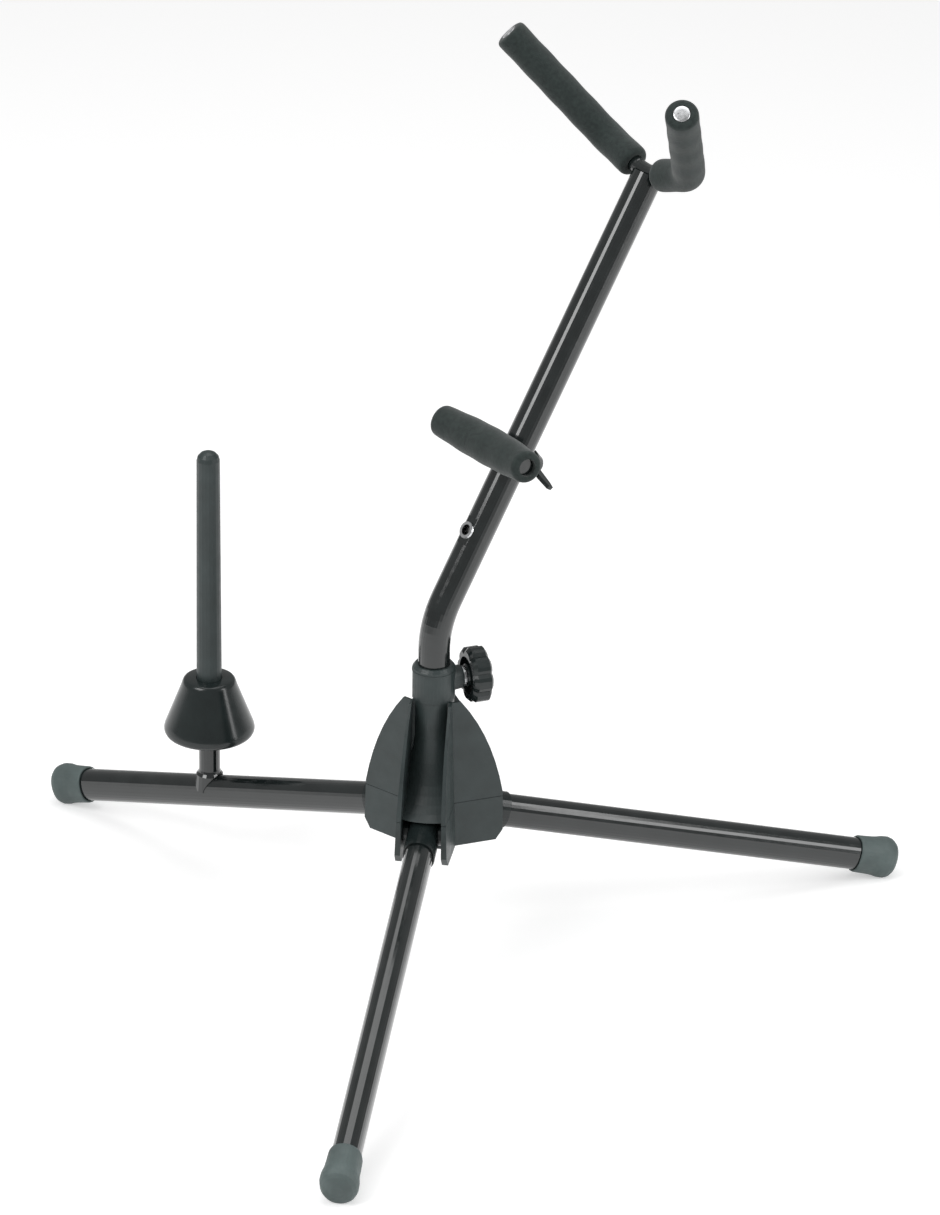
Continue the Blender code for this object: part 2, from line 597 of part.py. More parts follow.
def build_leg(name, heading, root, ground):
    """A leg in its own frame: the origin is its pivot, +X runs down the leg."""
    pivot = turned_to(heading) @ Vector((PIVOT_RADIUS, 0, PIVOT_HEIGHT))
    leg = empty(f"leg_{name}_frame", root, Matrix.Translation(pivot) @ turned_to(heading)
                @ Matrix.Rotation(LEG_SLOPE, 4, "Y"))
    half_width = LEG_WIDTH / 2
    half_depth = LEG_DEPTH / 2
    tube_start = KNUCKLE_REACH - KNUCKLE_SOCKET
    tube_end = LEG_LENGTH - 0.0020

    outside = [oval(x, half_width, half_depth) for x in (tube_start, tube_end)]
    inside = [oval(x, half_width - LEG_WALL, half_depth - LEG_WALL) for x in (tube_end, tube_start)]
    piece(f"leg_{name}_tube", leg, loft("leg_tube", [(outside + inside, True)]), BLACK_LACQUER)

    rings = []
    nose_steps = 5
    for k in range(nose_steps):
        x = -KNUCKLE_HALF_DEPTH * cos(pi / 2 * (k + 0.5) / nose_steps)
        rings.append(oval(x, KNUCKLE_HALF_WIDTH * (0.86 + 0.14 * (k + 0.5) / nose_steps),
                          sqrt(KNUCKLE_HALF_DEPTH ** 2 - x ** 2), ROUND, 3.2))
    rings += [oval(0, KNUCKLE_HALF_WIDTH, KNUCKLE_HALF_DEPTH, ROUND, 3.2)]
    rings += [oval(x, KNUCKLE_HALF_WIDTH, KNUCKLE_HALF_DEPTH) for x in (tube_start, KNUCKLE_REACH)]
    knuckle = piece(f"leg_{name}_knuckle", leg, loft("leg_knuckle", [(rings, False)]), GLOSS_PLASTIC)
    socket = helper(f"knuckle_socket_{name}", leg, loft("knuckle_socket", [
        ([oval(x, half_width + GAP, half_depth + GAP) for x in (tube_start - GAP, KNUCKLE_REACH + 0.001)], False)]))
    combine(knuckle, socket, "DIFFERENCE")
    across = Matrix.Rotation(pi / 2, 4, "X")
    boss_half = CHANNEL_HALF_WIDTH - GAP
    bosses = helper(f"knuckle_bosses_{name}", leg, turned("knuckle_bosses", [
        (KNUCKLE_BOSS_RADIUS, -boss_half), (KNUCKLE_BOSS_RADIUS, boss_half)], SMALL_ROUND), across)
    combine(knuckle, bosses, "UNION")
    eye = helper(f"knuckle_eye_{name}", leg, turned("knuckle_eye", [
        (PIN_RADIUS + RUNNING, -boss_half - 0.001), (PIN_RADIUS + RUNNING, boss_half + 0.001)], SMALL_ROUND), across)
    combine(knuckle, eye, "DIFFERENCE")

    sleeve_start = LEG_LENGTH - FOOT_SLEEVE_LENGTH
    sleeve_swell = GAP + FOOT_SLEEVE_WALL
    places = [(sleeve_start, sleeve_swell), (sleeve_start + 0.0010, sleeve_swell + 0.0003),
              (LEG_LENGTH - 0.0085, sleeve_swell + 0.0006), (LEG_LENGTH - 0.0050, FOOT_BULB_SWELL - 0.0008),
              (LEG_LENGTH - 0.0015, FOOT_BULB_SWELL - 0.0001), (LEG_LENGTH + 0.0020, FOOT_BULB_SWELL),
              (LEG_LENGTH + FOOT_NOSE * 0.60, FOOT_BULB_SWELL - 0.0008),
              (LEG_LENGTH + FOOT_NOSE * 0.87, FOOT_BULB_SWELL - 0.0026), (LEG_LENGTH + FOOT_NOSE, FOOT_BULB_SWELL - 0.0050)]
    rings = [oval(x, half_width + swell, half_depth + swell) for x, swell in places]
    rings.append(oval(LEG_LENGTH + FOOT_NOSE + 0.0005, half_width * 0.45, half_depth * 0.45))
    foot = piece(f"leg_{name}_foot", leg, loft("leg_foot", [(rings, False)]), RUBBER)
    room = helper(f"foot_room_{name}", leg, loft("foot_room", [
        ([oval(x, half_width + GAP, half_depth + GAP) for x in (sleeve_start - 0.001, tube_end + GAP)], False)]))
    combine(foot, room, "DIFFERENCE")
    combine(foot, ground, "DIFFERENCE")
    return leg


def build_peg(leg):
    """The peg on the left leg: a welded stub, a spindle, a cone and a rod that screws down."""
    along = (PEG_RADIUS_ON_LEG - PIVOT_RADIUS) / cos(LEG_SLOPE)
    upright = Matrix.Translation((along, 0, 0)) @ Matrix.Rotation(-LEG_SLOPE, 4, "Y")
    peg = empty("peg_frame", leg, upright)
    stub_top = CONE_HEIGHT_ABOVE_LEG - GAP
    weld_top = LEG_DEPTH / 2 / cos(LEG_SLOPE) + STUB_WELD * 2
    spindle_low = stub_top - SPINDLE_IN_STUB
    stub = piece("peg_stub", peg, turned("peg_stub", [
        (STUB_RADIUS + STUB_WELD * 1.6, 0.002), (STUB_RADIUS + STUB_WELD * 1.1, weld_top - STUB_WELD),
        (STUB_RADIUS + STUB_WELD * 0.3, weld_top), (STUB_RADIUS, weld_top + STUB_WELD),
        (STUB_RADIUS, stub_top)], SMALL_ROUND), BLACK_LACQUER)
    saddle = helper("stub_saddle", leg, loft("stub_saddle", [
        ([oval(along + x, LEG_WIDTH / 2 + GAP, LEG_DEPTH / 2 + GAP) for x in (-0.03, 0.03)], False)]))
    combine(stub, saddle, "DIFFERENCE")
    under = helper("stub_under", leg, loft("stub_under", prism(
        [(along - 0.03, -0.03), (along + 0.03, -0.03), (along + 0.03, 0), (along - 0.03, 0)], lambda z: 0.03, [0])))
    combine(stub, under, "DIFFERENCE")
    stub_bore = helper("stub_bore", peg, turned("stub_bore", [
        (SPINDLE_RADIUS + GAP, spindle_low - GAP), (SPINDLE_RADIUS + GAP, stub_top + 0.001)], SMALL_ROUND))
    combine(stub, stub_bore, "DIFFERENCE")
    piece("peg_spindle", peg, turned("peg_spindle", [
        (SPINDLE_RADIUS, spindle_low), (SPINDLE_RADIUS, CONE_TOP + SPINDLE_IN_ROD - 0.001),
        (SPINDLE_RADIUS - 0.001, CONE_TOP + SPINDLE_IN_ROD)], SMALL_ROUND), STEEL)

    cone_frame = empty("peg_cone_frame", peg)
    low = CONE_HEIGHT_ABOVE_LEG
    cup_floor = CONE_TOP - CONE_CUP_DEPTH
    cup_radius = PEG_ROD_BASE_RADIUS + GAP
    spindle_room = SPINDLE_RADIUS + GAP
    roof = cup_floor - CONE_WALL
    inner_base = CONE_BASE_RADIUS - CONE_WALL
    inner_top = CONE_TOP_RADIUS - CONE_WALL - 0.0006
    profile = [(CONE_BASE_RADIUS - 0.0040, low), (CONE_BASE_RADIUS - 0.0012, low + 0.0012),
               (CONE_BASE_RADIUS, low + 0.0040), (CONE_BASE_RADIUS - 0.0010, low + 0.0080),
               (CONE_TOP_RADIUS + 0.0008, CONE_TOP - 0.0045), (CONE_TOP_RADIUS, CONE_TOP - 0.0020),
               (CONE_TOP_RADIUS - 0.0018, CONE_TOP), (cup_radius, CONE_TOP), (cup_radius, cup_floor),
               (spindle_room, cup_floor), (spindle_room, low), (CONE_HUB_RADIUS, low), (CONE_HUB_RADIUS, roof),
               (inner_top, roof), (inner_base, low + 0.0060), (CONE_BASE_RADIUS - 0.0060, low)]
    piece("peg_cone", cone_frame, turned("peg_cone", profile, ROUND, True), GLOSS_PLASTIC)

    rod_frame = empty("peg_rod_frame", cone_frame)
    rod_low = cup_floor + GAP
    rod_top = CONE_TOP + PEG_ROD_LENGTH
    dome_low = rod_top - PEG_ROD_DOME
    dome = [(PEG_ROD_TIP_RADIUS * cos(a), dome_low + PEG_ROD_DOME * sin(a)) for a in (radians(25), radians(50), radians(72))]
    room_top = CONE_TOP + SPINDLE_IN_ROD + GAP
    shell = [(PEG_ROD_BASE_RADIUS, rod_low), (PEG_ROD_TIP_RADIUS, dome_low)] + dome
    rod = piece("peg_rod", rod_frame, turned("peg_rod", shell, SMALL_ROUND), HUB_PLASTIC)
    rod_bore = helper("rod_bore", rod_frame, turned("rod_bore", [
        (SPINDLE_RADIUS + RUNNING, rod_low - 0.001), (SPINDLE_RADIUS + RUNNING, room_top)], SMALL_ROUND))
    combine(rod, rod_bore, "DIFFERENCE")


def build_pole(root):
    """The pole in its own frame: the origin is its corner and it leans towards +X."""
    swivel = empty("swivel_frame", root, turned_to(POLE_HEADING))
    bush_top = HUB_TOP - GAP
    piece("neck_bush", swivel, tube("neck_bush", BUSH_OUTER_RADIUS, BUSH_INNER_RADIUS,
                                    bush_top - BUSH_LENGTH, bush_top, ROUND), NYLON)
    pole = empty("pole_frame", swivel, Matrix.Translation((0, 0, POLE_CORNER_HEIGHT)))
    bottom = Vector((0, 0, POLE_BOTTOM - POLE_CORNER_HEIGHT))
    top = POLE_DIRECTION * (POLE_LEANING_LENGTH + ROD_RADIUS * 0.1)
    path = filleted([bottom, Vector((0, 0, 0)), top], [POLE_BEND_RADIUS], 8)
    shell = piece("pole_tube", pole, sleeve("pole_tube", path, [POLE_RADIUS] * len(path), POLE_RADIUS - POLE_WALL,
                                            ROUND), BLACK_LACQUER)
    plug_top = bottom.z + PLUG_SPIGOT
    piece("pole_plug", pole, turned("pole_plug", [
        (POLE_RADIUS - 0.0012, bottom.z - GAP - PLUG_FLANGE), (POLE_RADIUS - 0.0004, bottom.z - GAP - PLUG_FLANGE / 2),
        (POLE_RADIUS - 0.0004, bottom.z - GAP), (POLE_RADIUS - POLE_WALL - GAP, bottom.z - GAP),
        (POLE_RADIUS - POLE_WALL - GAP, plug_top)], ROUND), NYLON)
    return pole, shell


def cradle_frame(name, pole, distance):
    """A frame on the pole's axis: +X sideways, +Y up along the pole, +Z forward."""
    return empty(name, pole, axes_matrix(POLE_DIRECTION * distance, POLE_SIDE, POLE_DIRECTION, POLE_FORWARD))


def yoke_path():
    """The yoke rod's axis, from one tip to the other, in the yoke's frame."""
    half = [Vector((side, along, forward)) for side, forward, along in (YOKE_TIP, YOKE_CORNER)]
    other = [Vector((-point.x, point.y, point.z)) for point in reversed(half)]
    return filleted(half + [Vector((0, 0, 0))] + other,
                    [YOKE_CORNER_RADIUS, YOKE_MIDDLE_RADIUS, YOKE_CORNER_RADIUS], 6)


def foam_radii(points, radius):
    """Radii along a sleeve whose two ends are rounded off."""
    return [radius - FOAM_EDGE * 0.45] + [radius] * (len(points) - 2) + [radius - FOAM_EDGE]


def with_soft_ends(points, start_edge, end_edge):
    """A path with one more point near each end, for the rounding there."""
    first = points[0].lerp(points[1], start_edge / (points[1] - points[0]).length)
    last = points[-1].lerp(points[-2], end_edge / (points[-2] - points[-1]).length)
    return [points[0], first] + points[1:-1] + [last, points[-1]]


def build_yoke(pole, shell):
    """The bent rod across the pole's top and its two foam sleeves."""
    yoke = cradle_frame("yoke_frame", pole, POLE_LEANING_LENGTH)
    path = yoke_path()
    length = path_length(path)
    rod_path = part_of_path(path, YOKE_ROD_RECESS, length - YOKE_ROD_RECESS)
    rod = piece("yoke_rod", yoke, loft("yoke_rod", [(swept(rod_path, [ROD_RADIUS] * len(rod_path), ROD_ROUND), False)]),
                BLACK_LACQUER)
    notch = helper("yoke_notch", yoke, loft("yoke_notch", [
        (swept(rod_path, [ROD_RADIUS + GAP] * len(rod_path), ROD_ROUND), False)]))
    combine(shell, notch, "DIFFERENCE")
    covered = length / 2 - YOKE_BARE_LENGTH
    for name, run in (("right", path), ("left", path[::-1])):
        stretch = part_of_path(run, 0, covered)[::-1]
        stretch = with_soft_ends(stretch, FOAM_EDGE * 0.3, FOAM_EDGE)
        piece(f"yoke_foam_{name}", yoke, sleeve("yoke_foam", stretch, foam_radii(stretch, FOAM_RADIUS), ROD_RADIUS + GAP,
                                                SMALL_ROUND), FOAM)
    return rod


def rest_point(side):
    """The rest rod's axis at a distance to one side, in the rest's frame."""
    return Vector((side, 0, REST_STANDOFF + REST_BOW * (side / REST_HALF_WIDTH) ** 2))


def build_fixings(pole, shell):
    """The pole's two fixing places, each with a flat, an eyelet in front and a hole through."""
    for name, distance in (("upper", REST_DISTANCE), ("lower", SECOND_HOLE_DISTANCE)):
        frame = cradle_frame(f"fixing_{name}_frame", pole, distance)
        flat = POLE_RADIUS - POLE_FLAT_DEPTH
        half = POLE_FLAT_HALF_LENGTH
        block = helper(f"pole_flat_{name}", frame, loft("pole_flat", [
            ([[Vector((x, y, z)) for x, y in ((-half, -half), (half, -half), (half, half), (-half, half))]
              for z in (flat, POLE_RADIUS + 0.002)], False)]))
        combine(shell, block, "DIFFERENCE")
        hole = helper(f"pole_hole_{name}", frame, turned("pole_hole", [
            (STUD_RADIUS + GAP, -POLE_RADIUS - 0.002), (STUD_RADIUS + GAP, 0), (EYELET_SHANK_RADIUS + RUNNING, 0),
            (EYELET_SHANK_RADIUS + RUNNING, POLE_RADIUS + 0.002)], SMALL_ROUND))
        combine(shell, hole, "DIFFERENCE")
        seat = flat + GAP
        bore = STUD_RADIUS + GAP
        piece(f"pole_eyelet_{name}", frame, turned("pole_eyelet", [
            (EYELET_RADIUS, seat), (EYELET_RADIUS - 0.0003, seat + EYELET_FLANGE), (bore, seat + EYELET_FLANGE),
            (bore, seat - EYELET_DEPTH), (EYELET_SHANK_RADIUS, seat - EYELET_DEPTH), (EYELET_SHANK_RADIUS, seat)],
            SMALL_ROUND, True), STEEL)


def build_rest(pole):
    """The bowed rest: rod, stud, foam and the saddle between it and the pole."""
    rest = cradle_frame("rest_frame", pole, REST_DISTANCE)
    steps = 10
    reach = REST_HALF_WIDTH - REST_ROD_RECESS
    rod_path = [rest_point(reach * (2 * k / steps - 1)) for k in range(steps + 1)]
    piece("rest_rod", rest, loft("rest_rod", [(swept(rod_path, [ROD_RADIUS] * len(rod_path), ROD_ROUND), False)]),
          BLACK_LACQUER)
    foam_path = [rest_point(REST_HALF_WIDTH * (2 * k / steps - 1)) for k in range(steps + 1)]
    foam_path = with_soft_ends(foam_path, FOAM_EDGE * 0.6, FOAM_EDGE * 0.6)
    radii = [REST_FOAM_RADIUS + (REST_FOAM_MIDDLE_RADIUS - REST_FOAM_RADIUS) * (1 - (p.x / REST_HALF_WIDTH) ** 2)
             for p in foam_path]
    radii[0] -= FOAM_EDGE * 0.6
    radii[-1] -= FOAM_EDGE * 0.6
    foam = piece("rest_foam", rest, sleeve("rest_foam", foam_path, radii, ROD_RADIUS + GAP, SMALL_ROUND), FOAM)

    saddle_front = REST_STANDOFF - ROD_RADIUS * 0.55
    def saddle_block(grow, low, high):
        width, length = SADDLE_HALF_WIDTH + grow, SADDLE_HALF_LENGTH + grow
        corners = ((-width, -length), (width, -length), (width, length), (-width, length))
        return [([[Vector((x, y, z)) for x, y in corners] for z in (low, high)], False)]

    window = helper("foam_window", rest, loft("foam_window", saddle_block(GAP, 0.002, saddle_front + GAP)))
    combine(foam, window, "DIFFERENCE")
    saddle = piece("rest_saddle", rest, loft("rest_saddle", saddle_block(0, POLE_RADIUS * 0.62, saddle_front)), HUB_PLASTIC)
    pole_room = helper("saddle_pole_room", rest, turned("saddle_pole_room", [
        (POLE_RADIUS + GAP, -0.03), (POLE_RADIUS + GAP, 0.03)], ROUND), Matrix.Rotation(pi / 2, 4, "X"))
    combine(saddle, pole_room, "DIFFERENCE")
    rod_room = helper("saddle_rod_room", rest, loft("saddle_rod_room", [
        (swept(rod_path, [ROD_RADIUS + GAP] * len(rod_path), ROD_ROUND), False)]))
    combine(saddle, rod_room, "DIFFERENCE")
    eyelet_top = POLE_RADIUS - POLE_FLAT_DEPTH + GAP + EYELET_FLANGE
    stud_room = helper("saddle_stud_room", rest, turned("saddle_stud_room", [
        (EYELET_RADIUS + GAP, 0.004), (EYELET_RADIUS + GAP, eyelet_top + GAP), (STUD_RADIUS + GAP, eyelet_top + GAP),
        (STUD_RADIUS + GAP, REST_STANDOFF)], SMALL_ROUND))
    combine(saddle, stud_room, "DIFFERENCE")
    stud_front = REST_STANDOFF - ROD_RADIUS - GAP
    piece("rest_stud", rest, turned("rest_stud", [
        (STUD_RADIUS - 0.0006, -STUD_TAIL), (STUD_RADIUS, -STUD_TAIL + 0.0006), (STUD_RADIUS, stud_front)], SMALL_ROUND), STEEL)


def build_wing_nut(pole):
    """The washer and the wing nut behind the pole."""
    washer_frame = cradle_frame("washer_frame", pole, REST_DISTANCE)
    washer_front = -POLE_RADIUS - GAP
    washer_back = washer_front - WASHER_THICKNESS
    piece("rest_washer", washer_frame, tube("rest_washer", WASHER_RADIUS, STUD_RADIUS + GAP, washer_back, washer_front,
                                            SMALL_ROUND), STEEL)
    frame = cradle_frame("wing_nut_frame", pole, REST_DISTANCE)
    front = washer_back - GAP
    back = front - NUT_HEIGHT
    nut = piece("wing_nut", frame, turned("wing_nut", [
        (NUT_RADIUS, front), (NUT_RADIUS, front - 0.0015), (NUT_TOP_RADIUS, back + 0.0008), (NUT_TOP_RADIUS - 0.0008, back)],
        SMALL_ROUND), GLOSS_PLASTIC)
    half = WING_THICKNESS / 2
    outline = ((-0.0040, front - 0.0020), (-WING_SPAN * 0.62, front - 0.0030), (-WING_SPAN, back + 0.0010),
               (-WING_SPAN, back - WING_HEIGHT * 0.35), (-WING_SPAN * 0.80, back - WING_HEIGHT * 0.30),
               (-0.0040, back + 0.0015))
    for side, label in ((1, "a"), (-1, "b")):
        faces = [[Vector((side * x, y, z)) for x, z in outline] for y in (-half, half)]
        wing = helper(f"nut_wing_{label}", frame, loft("nut_wing", [(faces, False)]), Matrix.Rotation(WING_TURN, 4, "Z"))
        combine(nut, wing, "UNION")
    thread = helper("nut_thread", frame, turned("nut_thread", [
        (STUD_RADIUS + RUNNING, back - 0.004), (STUD_RADIUS + RUNNING, front + 0.001)], SMALL_ROUND))
    combine(nut, thread, "DIFFERENCE")


def stand_on_origin(root):
    """Moves the whole model so that the middle of its box stands on the origin."""
    bpy.context.view_layer.update()
    graph = bpy.context.evaluated_depsgraph_get()
    low = Vector((1, 1, 1))
    high = Vector((-1, -1, -1))
    for made in bpy.context.scene.objects:
        if made.type == "MESH" and not made.hide_render:
            shown = made.evaluated_get(graph)
            for vertex in shown.data.vertices:
                place = shown.matrix_world @ vertex.co
                low = Vector(map(min, low, place))
                high = Vector(map(max, high, place))
    root.location = (-(low.x + high.x) / 2, -(low.y + high.y) / 2, -low.z)
    bpy.context.view_layer.update()


def main():
    clear_scene()
    root = empty("stand_frame", None)
    hub = build_hub(root)
    clamp = build_collar(hub)
    build_clamp(clamp)
    reach = FOOT_CIRCLE_RADIUS + 0.05
    floor = [[Vector((x, y, z)) for x, y in ((-reach, -reach), (reach, -reach), (reach, reach), (-reach, reach))]
             for z in (-0.01, 0)]
    ground = helper("ground", root, loft("ground", [(floor, False)]))
    legs = {name: build_leg(name, heading, root, ground) for name, heading in LEG_HEADINGS.items()}
    build_peg(legs["left"])
    pole, shell = build_pole(root)
    build_yoke(pole, shell)
    build_fixings(pole, shell)
    build_rest(pole)
    build_wing_nut(pole)
    stand_on_origin(root)


main()
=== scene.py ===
import json
from math import cos, pi, radians, sin, tan

import bmesh
import bpy
from mathutils import Matrix, Quaternion, Vector


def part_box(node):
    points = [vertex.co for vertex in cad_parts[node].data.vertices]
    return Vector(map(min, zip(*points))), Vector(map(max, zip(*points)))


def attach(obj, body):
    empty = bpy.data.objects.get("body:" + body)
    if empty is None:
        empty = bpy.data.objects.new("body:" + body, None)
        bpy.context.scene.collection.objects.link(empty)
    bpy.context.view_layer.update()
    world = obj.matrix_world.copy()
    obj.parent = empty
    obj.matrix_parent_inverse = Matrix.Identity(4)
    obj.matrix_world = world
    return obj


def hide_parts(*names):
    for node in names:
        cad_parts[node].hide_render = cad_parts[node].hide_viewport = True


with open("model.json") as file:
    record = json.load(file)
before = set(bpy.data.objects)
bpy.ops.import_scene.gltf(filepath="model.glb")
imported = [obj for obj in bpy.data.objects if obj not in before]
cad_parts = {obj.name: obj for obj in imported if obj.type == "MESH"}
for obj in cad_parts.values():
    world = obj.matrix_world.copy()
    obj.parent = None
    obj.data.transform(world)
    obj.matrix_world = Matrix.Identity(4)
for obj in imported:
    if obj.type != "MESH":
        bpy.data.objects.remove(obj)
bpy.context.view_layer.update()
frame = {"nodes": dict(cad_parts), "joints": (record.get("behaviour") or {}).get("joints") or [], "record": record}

# The photograph's frame and how the camera stood to it
PHOTO_WIDTH = 940
PHOTO_HEIGHT = 1215
PIXEL = 0.0006                      # metres in one pixel at the hub
CAMERA_DISTANCE = 3.6
CAMERA_ELEVATION = radians(27.51)
CAMERA_AZIMUTH = radians(9.46)
CAMERA_ROLL = radians(0.76)
AIM_HEIGHT = 0.090                  # a point on the hub's axis
AIM_PIXEL = (431.9, 817.1)          # where the photograph shows it

# Joints that give the places of the pieces made here
JOINTS = {joint["name"]: joint for joint in frame["joints"]}
HUB_AXIS = Vector(JOINTS["pole_swivel"]["pos_m"]) * Vector((1, 1, 0))
FORWARD = Vector(JOINTS["rest_slide"]["axis"]).normalized()
SIDE = Vector((0, 0, 1)).cross(FORWARD).normalized()
ALONG = FORWARD.cross(SIDE)
REST_CENTRE = Vector(JOINTS["wing_nut_turn"]["pos_m"])
CLAMP_CENTRE = Vector(JOINTS["clamp_knob_turn"]["pos_m"])
CLAMP_AXIS = Vector(JOINTS["clamp_knob_turn"]["axis"]).normalized()
PEG_AXIS = Vector(JOINTS["peg_rod_turn"]["pos_m"])

# Yoke and rest, as in the solids
REST_TO_YOKE = 0.1824
YOKE_CENTRE = REST_CENTRE + ALONG * REST_TO_YOKE
YOKE_CORNER = (0.0393, 0.0070, 0.0105)
YOKE_TIP = (0.0815, 0.0739, 0.0407)
YOKE_CORNER_BEND = 0.0180
YOKE_MIDDLE_BEND = 0.0400
YOKE_BARE = 0.0125
ROD_RADIUS = 0.0050
FOAM_BORE = 0.0053
FOAM_RADIUS = 0.0097
FOAM_ROUNDING = 0.0030
REST_HALF_WIDTH = 0.0430
REST_STANDOFF = 0.0225
REST_BOW = 0.0045
REST_FOAM_END = 0.0093
REST_FOAM_MIDDLE = 0.0114
SADDLE_ROOM = (0.0150, 0.0186, 0.0175)     # cut out of the rest's padding for the saddle
SADDLE_ROOM_CENTRE = 0.0113
STUD_TAIL = 0.0225
THREAD_PITCH = 0.0010
THREAD_CREST = 0.00028
THREAD_RADIUS = 0.0030
FOAM_RIPPLE = 0.00012               # how uneven the foam's skin is
FOAM_RIPPLE_RATE = 310              # radians to the metre


def place(origin, side, along, forward):
    """A point given sideways, along the pole and forward of it."""
    return origin + SIDE * side + ALONG * along + FORWARD * forward


def new_object(name, mesh):
    """An object at the origin that holds a mesh."""
    made = bpy.data.objects.new(name, mesh)
    bpy.context.scene.collection.objects.link(made)
    return made


def mesh_from_rings(name, rings, closed):
    """A smooth skin over rings of points; closed joins the last ring to the first."""
    work = bmesh.new()
    loops = [[work.verts.new(point) for point in ring] for ring in rings]
    following = loops[1:] + ([loops[0]] if closed else [])
    for here, there in zip(loops, following):
        for i in range(len(here)):
            j = (i + 1) % len(here)
            work.faces.new((here[i], here[j], there[j], there[i]))
    if not closed:
        work.faces.new(loops[0][::-1])
        work.faces.new(loops[-1])
    bmesh.ops.recalc_face_normals(work, faces=work.faces)
    mesh = bpy.data.meshes.new(name)
    work.to_mesh(mesh)
    work.free()
    mesh.shade_smooth()
    mesh.set_sharp_from_angle(angle=radians(50))
    return mesh


def rounded_path(corners, bends, steps):
    """Straight runs with an arc at each inner corner."""
    points = [corners[0]]
    for before, corner, after, bend in zip(corners, corners[1:], corners[2:], bends):
        inward = (corner - before).normalized()
        outward = (after - corner).normalized()
        turn = inward.angle(outward)
        start = corner - inward * (bend * tan(turn / 2))
        centre = corner + (outward - inward).normalized() * (bend / cos(turn / 2))
        axis = inward.cross(outward).normalized()
        points += [centre + Quaternion(axis, turn * k / steps) @ (start - centre) for k in range(steps + 1)]
    return points + [corners[-1]]


def point_at(points, distance):
    """The point at a distance along a path."""
    for here, there in zip(points, points[1:]):
        step = (there - here).length
        if distance <= step:
            return here.lerp(there, distance / step)
        distance -= step
    return points[-1].copy()


def path_length(points):
    """How long a path is."""
    return sum((there - here).length for here, there in zip(points, points[1:]))


def rings_along(points, radii, sides):
    """Rings square to a path."""
    rings = []
    last = None
    normal = None
    for i, (point, radius) in enumerate(zip(points, radii)):
        along = (points[min(i + 1, len(points) - 1)] - points[max(i - 1, 0)]).normalized()
        normal = along.orthogonal().normalized() if last is None else last.rotation_difference(along) @ normal
        last = along
        other = along.cross(normal)
        steps = [2 * pi * k / sides for k in range(sides)]
        rings.append([point + (normal * cos(a) + other * sin(a)) * radius for a in steps])
    return rings


# Materials

def shader_of(name, colour, roughness, metallic=0.0):
    """A new material, its node tree and its Principled shader."""
    made = bpy.data.materials.new(name)
    made.use_nodes = True
    tree = made.node_tree
    shader = tree.nodes["Principled BSDF"]
    shader.inputs["Base Color"].default_value = (*colour, 1)
    shader.inputs["Roughness"].default_value = roughness
    shader.inputs["Metallic"].default_value = metallic
    return made, tree, shader


def noise_of(tree, scale, detail=3.0, stretch=(1, 1, 1)):
    """Noise on Object coordinates, in features to the metre."""
    where = tree.nodes.new("ShaderNodeTexCoord")
    mapping = tree.nodes.new("ShaderNodeMapping")
    mapping.inputs["Scale"].default_value = stretch
    noise = tree.nodes.new("ShaderNodeTexNoise")
    noise.inputs["Scale"].default_value = scale
    noise.inputs["Detail"].default_value = detail
    tree.links.new(where.outputs["Object"], mapping.inputs["Vector"])
    tree.links.new(mapping.outputs["Vector"], noise.inputs["Vector"])
    return noise.outputs["Fac"]


def spread(tree, value, low, high):
    """Noise drawn out to a range."""
    node = tree.nodes.new("ShaderNodeMapRange")
    node.inputs["From Min"].default_value = 0.3
    node.inputs["From Max"].default_value = 0.7
    node.inputs["To Min"].default_value = low
    node.inputs["To Max"].default_value = high
    tree.links.new(value, node.inputs["Value"])
    return node.outputs["Result"]


def tint(tree, shader, value, dark, light):
    """Colour that wanders between two shades."""
    mix = tree.nodes.new("ShaderNodeMix")
    mix.data_type = "RGBA"
    mix.inputs[6].default_value = (*dark, 1)
    mix.inputs[7].default_value = (*light, 1)
    tree.links.new(spread(tree, value, 0, 1), mix.inputs["Factor"])
    tree.links.new(mix.outputs[2], shader.inputs["Base Color"])


def bump(tree, shader, value, strength, depth):
    """Relief from a value, as deep as a length in metres."""
    node = tree.nodes.new("ShaderNodeBump")
    node.inputs["Strength"].default_value = strength
    node.inputs["Distance"].default_value = depth
    tree.links.new(value, node.inputs["Height"])
    tree.links.new(node.outputs["Normal"], shader.inputs["Normal"])


def black_lacquer():
    """Gloss black lacquer on tube, with a faint ripple."""
    made, tree, shader = shader_of("black_lacquer", (0.008, 0.011, 0.011), 0.14)
    shader.inputs["Coat Weight"].default_value = 0.6
    shader.inputs["Coat Roughness"].default_value = 0.06
    tint(tree, shader, noise_of(tree, 90), (0.006, 0.009, 0.009), (0.012, 0.016, 0.016))
    tree.links.new(spread(tree, noise_of(tree, 260), 0.11, 0.20), shader.inputs["Roughness"])
    bump(tree, shader, noise_of(tree, 700, 1.0), 0.06, 0.0002)
    return made


def moulded_plastic(name, colour, roughness, grain, strength):
    """Black plastic with moulding grain and slightly uneven gloss."""
    made, tree, shader = shader_of(name, colour, roughness)
    darker = tuple(c * 0.82 for c in colour)
    lighter = tuple(c * 1.18 for c in colour)
    tint(tree, shader, noise_of(tree, 60), darker, lighter)
    tree.links.new(spread(tree, noise_of(tree, 180), roughness * 0.85, roughness * 1.15), shader.inputs["Roughness"])
    bump(tree, shader, noise_of(tree, grain, 2.0), strength, 0.0002)
    return made


